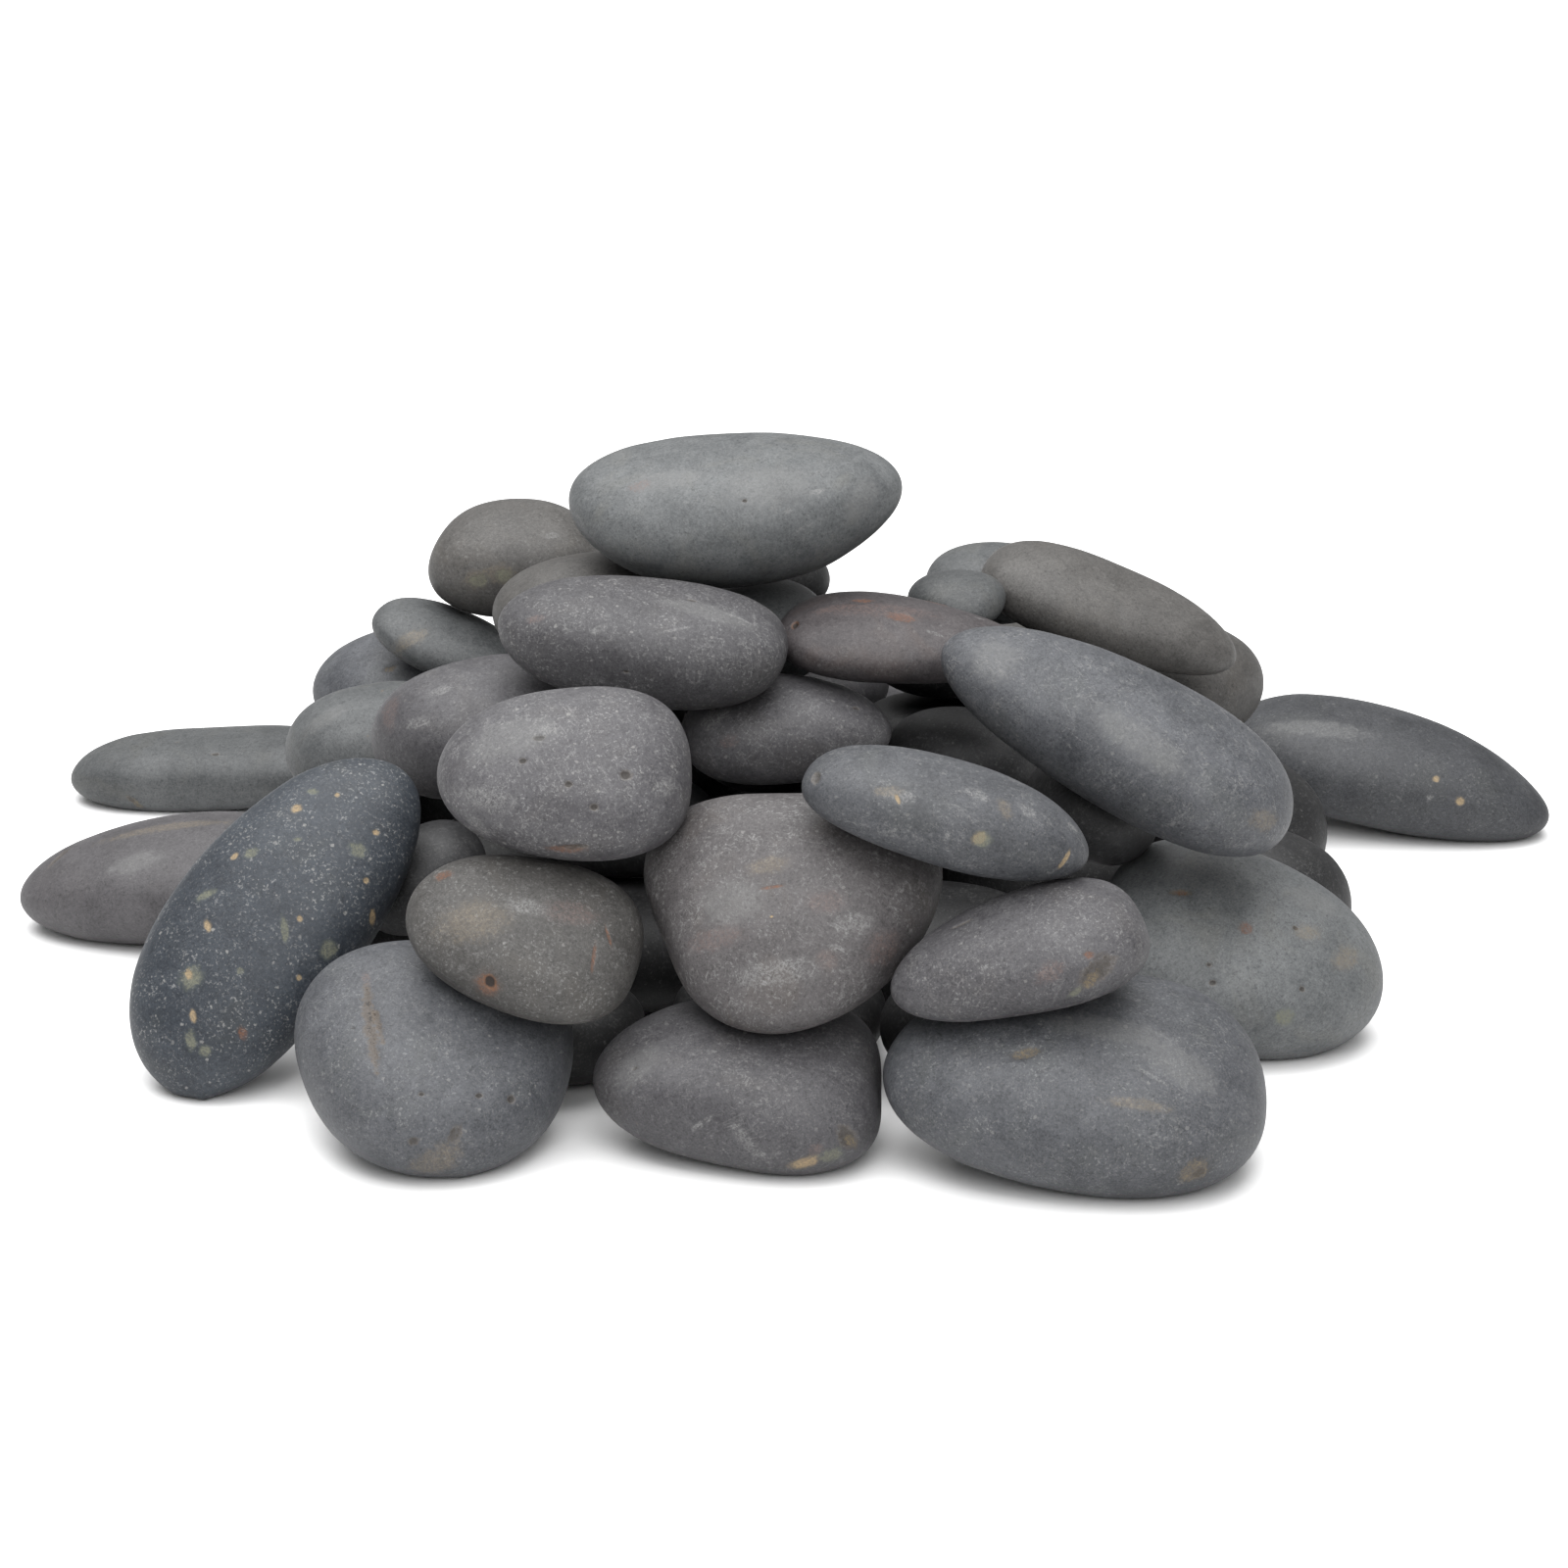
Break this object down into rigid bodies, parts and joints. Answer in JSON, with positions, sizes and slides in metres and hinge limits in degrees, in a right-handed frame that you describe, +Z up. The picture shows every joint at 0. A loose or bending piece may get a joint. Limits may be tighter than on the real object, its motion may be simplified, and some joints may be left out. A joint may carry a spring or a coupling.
{
  "type": "heap of basalt massage stones",
  "caption": "Loose heap of smooth, tumbled dark basalt pebbles for hot stone massage, lying on one another, each a separate solid stone.",
  "frame": {"origin": "centre of the heap's bounding box, on the ground that the lowest stones lie on", "axes": "+X to the right along the heap's longest side, +Y to the back, +Z up"},
  "size_m": [0.4106, 0.3136, 0.1305],
  "materials": {
    "basalt_blue_grey": "honed by tumbling, matt, fine pits",
    "basalt_brown_grey": "honed by tumbling, matt, fine pits",
    "basalt_dark": "honed by tumbling, matt, fine pits",
    "basalt_green_grey": "honed by tumbling, matt, fine pits",
    "basalt_mauve_grey": "honed by tumbling, matt, fine pits",
    "basalt_purple_grey": "honed by tumbling, matt, fine pits",
    "basalt_speckled": "honed by tumbling, matt, fine pits"
  },
  "bodies": {
    "heap": {"core_middle": "basalt_dark", "core_left": "basalt_dark", "core_right": "basalt_dark", "core_front_left": "basalt_dark", "core_front_right": "basalt_dark", "core_back": "basalt_dark", "core_side_left": "basalt_dark", "core_side_right": "basalt_dark", "core_far_left": "basalt_dark", "core_far_right": "basalt_dark", "front_low_left": "basalt_dark", "front_low_middle": "basalt_dark", "front_low_right": "basalt_dark", "back_low_left": "basalt_dark", "back_low_right": "basalt_dark", "back_low_middle": "basalt_dark", "fill_left": "basalt_dark", "fill_right": "basalt_dark", "fill_front_left": "basalt_dark", "fill_front_right": "basalt_dark", "mid_left": "basalt_dark", "mid_middle": "basalt_dark", "mid_right": "basalt_dark", "behind_crown": "basalt_dark", "left_hidden": "basalt_blue_grey", "back_right_small": "basalt_green_grey", "left_leaner": "basalt_green_grey", "dark_fleck": "basalt_dark", "left_seam": "basalt_green_grey", "shoulder": "basalt_brown_grey", "under_crown": "basalt_green_grey", "rust": "basalt_brown_grey", "dark_centre": "basalt_dark", "dark_gap": "basalt_dark", "bridge": "basalt_purple_grey", "right_base": "basalt_green_grey", "small_mid": "basalt_purple_grey", "wedge": "basalt_dark", "brown_pit": "basalt_brown_grey", "centre": "basalt_purple_grey", "nose_chip": "basalt_purple_grey", "front_left": "basalt_blue_grey", "front_middle": "basalt_purple_grey", "front_right": "basalt_blue_grey"},
    "crown_stone": {"crown": "basalt_green_grey"},
    "back_left_stone": {"back_left": "basalt_brown_grey"},
    "upper_right_stone": {"upper_right": "basalt_brown_grey"},
    "back_dark_small_stone": {"back_dark_small": "basalt_dark"},
    "long_diag_stone": {"long_diag": "basalt_blue_grey"},
    "tan_chips_stone": {"tan_chips": "basalt_blue_grey"},
    "mitt_stone": {"mitt": "basalt_purple_grey"},
    "speckled_stone": {"speckled": "basalt_speckled"},
    "far_right_stone": {"far_right": "basalt_blue_grey"},
    "left_long_stone": {"left_long": "basalt_mauve_grey"},
    "left_bar_stone": {"left_bar": "basalt_green_grey"},
    "mauve_stone": {"mauve": "basalt_purple_grey"},
    "right_behind_stone": {"right_behind": "basalt_brown_grey"},
    "back_top_stone": {"back_top": "basalt_blue_grey"},
    "back_mid_right_stone": {"back_mid_right": "basalt_brown_grey"},
    "back_mid_left_stone": {"back_mid_left": "basalt_blue_grey"}
  },
  "joints": [
    {"name": "lift_crown", "type": "slide", "parent": "heap", "child": "crown_stone", "axis": [0, 0, 1], "range_m": [0, 0.06]},
    {"name": "lift_back_left", "type": "slide", "parent": "heap", "child": "back_left_stone", "axis": [0, 0, 1], "range_m": [0, 0.05]},
    {"name": "lift_upper_right", "type": "slide", "parent": "heap", "child": "upper_right_stone", "axis": [0.7071, 0, 0.7071], "range_m": [0, 0.05]},
    {"name": "lift_back_dark_small", "type": "slide", "parent": "heap", "child": "back_dark_small_stone", "axis": [0, 0, 1], "range_m": [0, 0.05]},
    {"name": "lift_long_diag", "type": "slide", "parent": "heap", "child": "long_diag_stone", "axis": [0, 0, 1], "range_m": [0, 0.05]},
    {"name": "lift_tan_chips", "type": "slide", "parent": "heap", "child": "tan_chips_stone", "axis": [0, 0, 1], "range_m": [0, 0.05]},
    {"name": "lift_mitt", "type": "slide", "parent": "heap", "child": "mitt_stone", "axis": [0, 0, 1], "range_m": [0, 0.05]},
    {"name": "lift_speckled", "type": "slide", "parent": "heap", "child": "speckled_stone", "axis": [-0.7071, 0, 0.7071], "range_m": [0, 0.05]},
    {"name": "lift_far_right", "type": "slide", "parent": "heap", "child": "far_right_stone", "axis": [0.7071, 0, 0.7071], "range_m": [0, 0.05]},
    {"name": "lift_left_long", "type": "slide", "parent": "heap", "child": "left_long_stone", "axis": [-0.7071, 0, 0.7071], "range_m": [0, 0.05]},
    {"name": "lift_left_bar", "type": "slide", "parent": "heap", "child": "left_bar_stone", "axis": [-0.7071, 0, 0.7071], "range_m": [0, 0.05]},
    {"name": "lift_mauve", "type": "slide", "parent": "heap", "child": "mauve_stone", "axis": [-0.7071, 0, 0.7071], "range_m": [0, 0.05]},
    {"name": "lift_right_behind", "type": "slide", "parent": "heap", "child": "right_behind_stone", "axis": [0, 0.7071, 0.7071], "range_m": [0, 0.05]},
    {"name": "lift_back_top", "type": "slide", "parent": "heap", "child": "back_top_stone", "axis": [0, 0.7071, 0.7071], "range_m": [0, 0.05]},
    {"name": "lift_back_mid_right", "type": "slide", "parent": "heap", "child": "back_mid_right_stone", "axis": [0, 0.7071, 0.7071], "range_m": [0, 0.05]},
    {"name": "lift_back_mid_left", "type": "slide", "parent": "heap", "child": "back_mid_left_stone", "axis": [0, 0.7071, 0.7071], "range_m": [0, 0.05]}
  ]
}
